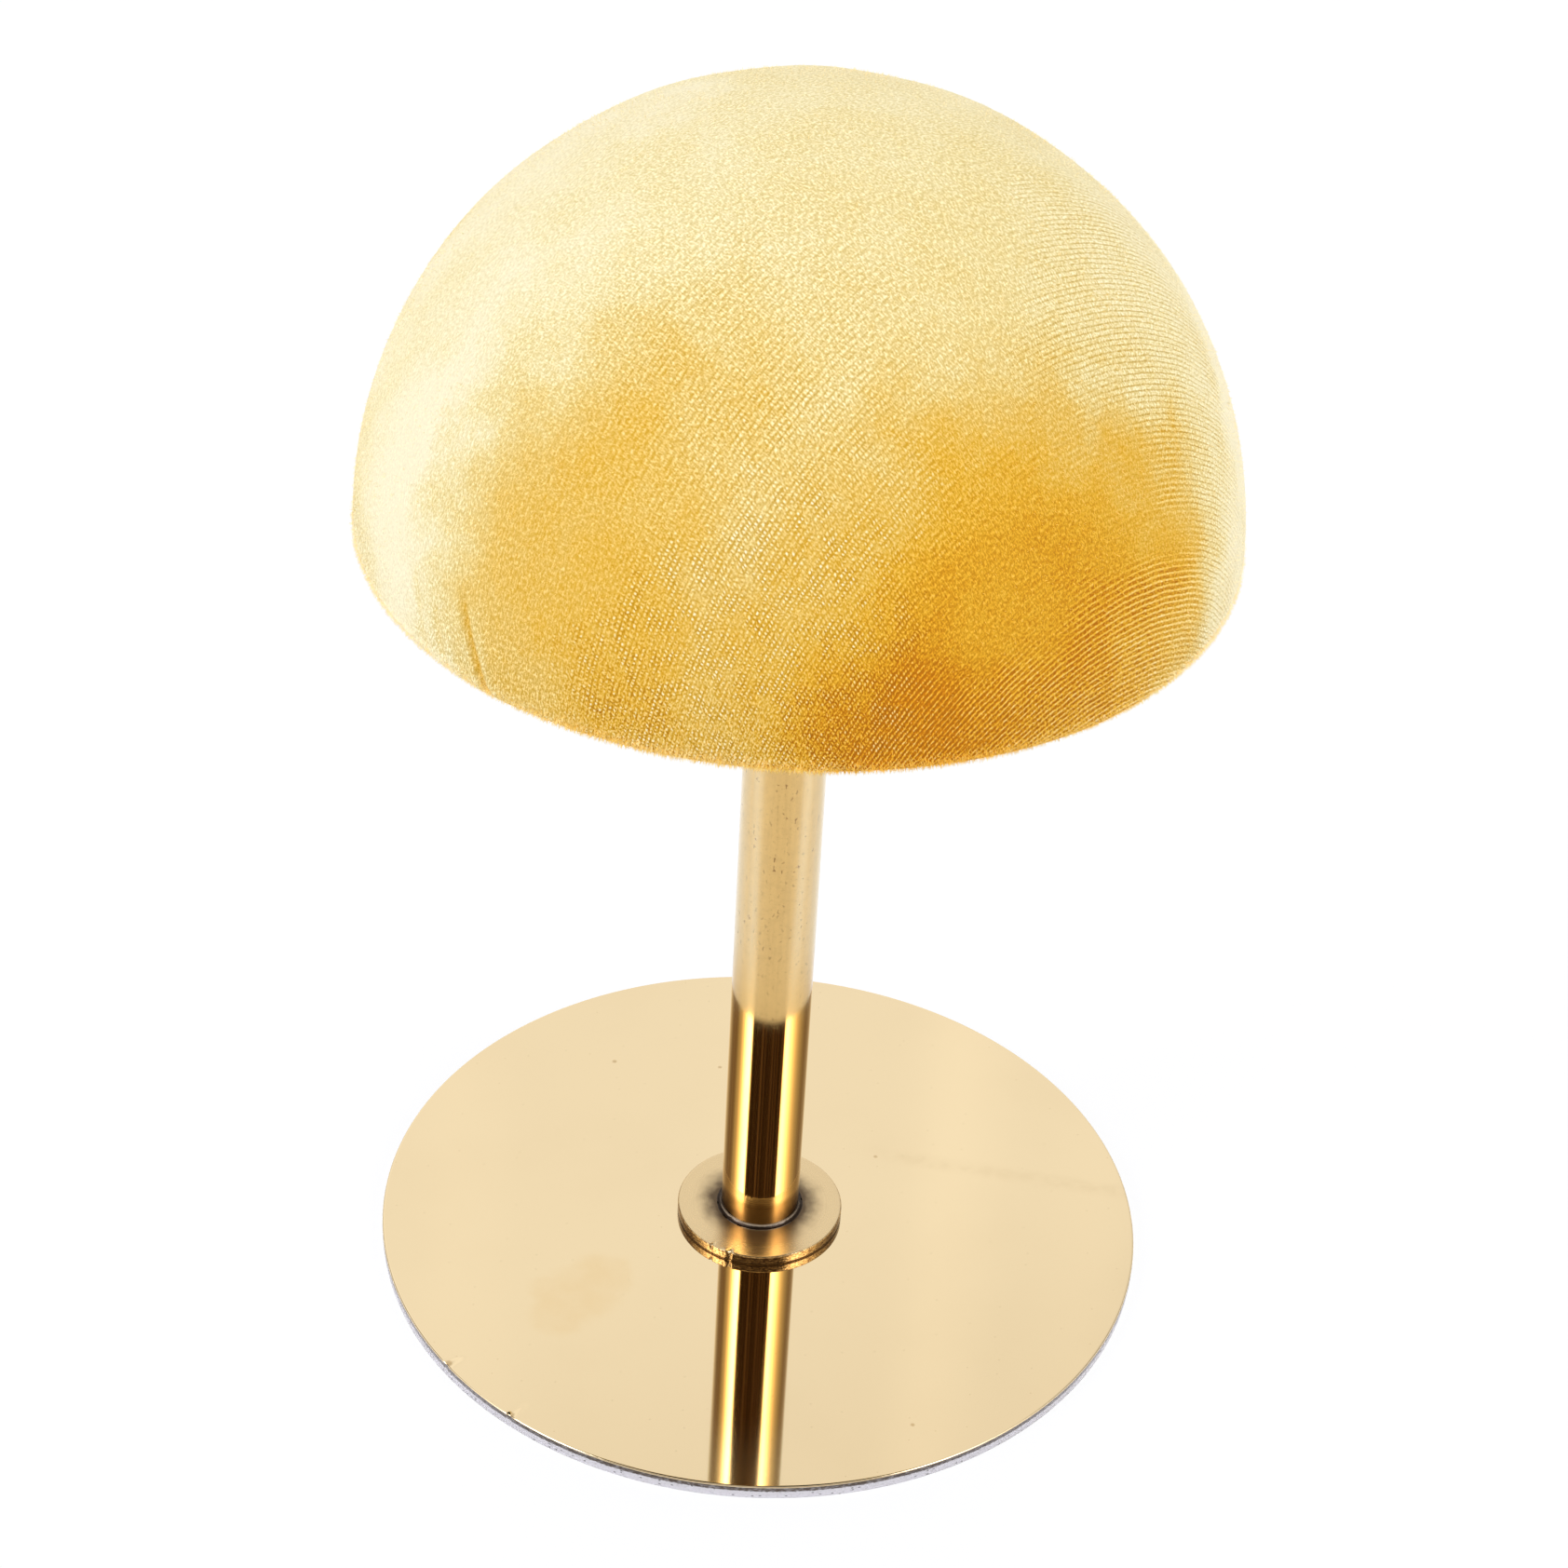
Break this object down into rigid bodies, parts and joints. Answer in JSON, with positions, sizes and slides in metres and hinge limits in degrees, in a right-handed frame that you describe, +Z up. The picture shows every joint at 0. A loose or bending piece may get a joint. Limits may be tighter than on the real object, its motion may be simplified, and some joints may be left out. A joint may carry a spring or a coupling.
{
  "type": "wig stand",
  "caption": "Dome-topped wig stand: a velvet half ball on a slim mirror gold pole with a welded foot washer, bolted to a round mirror gold base plate.",
  "frame": {"origin": "centre of the base plate's underside, where the pole's axis meets the surface that the stand is put on", "axes": "+Z up along the pole's axis; -Y faces the viewer of the picture and +X is to that viewer's right"},
  "size_m": [0.1596, 0.1596, 0.2499],
  "materials": {
    "mirror_gold_plate": "polished",
    "mirror_gold_tube": "polished",
    "satin_gold_washer": "satin",
    "weld_metal": "satin",
    "zinc_steel": "satin",
    "white_nylon": "matte",
    "plywood": "matte",
    "foam": "matte",
    "gold_velvet": "matte",
    "staple_wire": "satin",
    "dust_cloth": "matte"
  },
  "bodies": {
    "stand": {"base_plate": "mirror_gold_plate", "base_screw": "zinc_steel", "foot_washer": "satin_gold_washer", "foot_weld": "weld_metal", "lower_plug": "zinc_steel", "pole_tube": "mirror_gold_tube", "upper_plug": "zinc_steel", "head_stud": "zinc_steel"},
    "washer": {"head_washer": "white_nylon"},
    "dome": {"dome_board": "plywood", "tee_nut": "zinc_steel", "foam_core": "foam", "velvet_cover": "gold_velvet", "cover_staples": "staple_wire", "dust_cover": "dust_cloth"}
  },
  "joints": [
    {"name": "dome_turn", "type": "hinge", "parent": "stand", "child": "washer", "pos_m": [0, 0, 0.169], "axis": [0, 0, 1], "range_deg": [0, 2430]},
    {"name": "dome_rise", "type": "slide", "parent": "washer", "child": "dome", "axis": [0, 0, 1], "range_m": [0, 0.00844]}
  ],
  "couplings": [
    {"joint": "dome_rise", "follows": "dome_turn", "m_per_rad": 0.00019894}
  ]
}
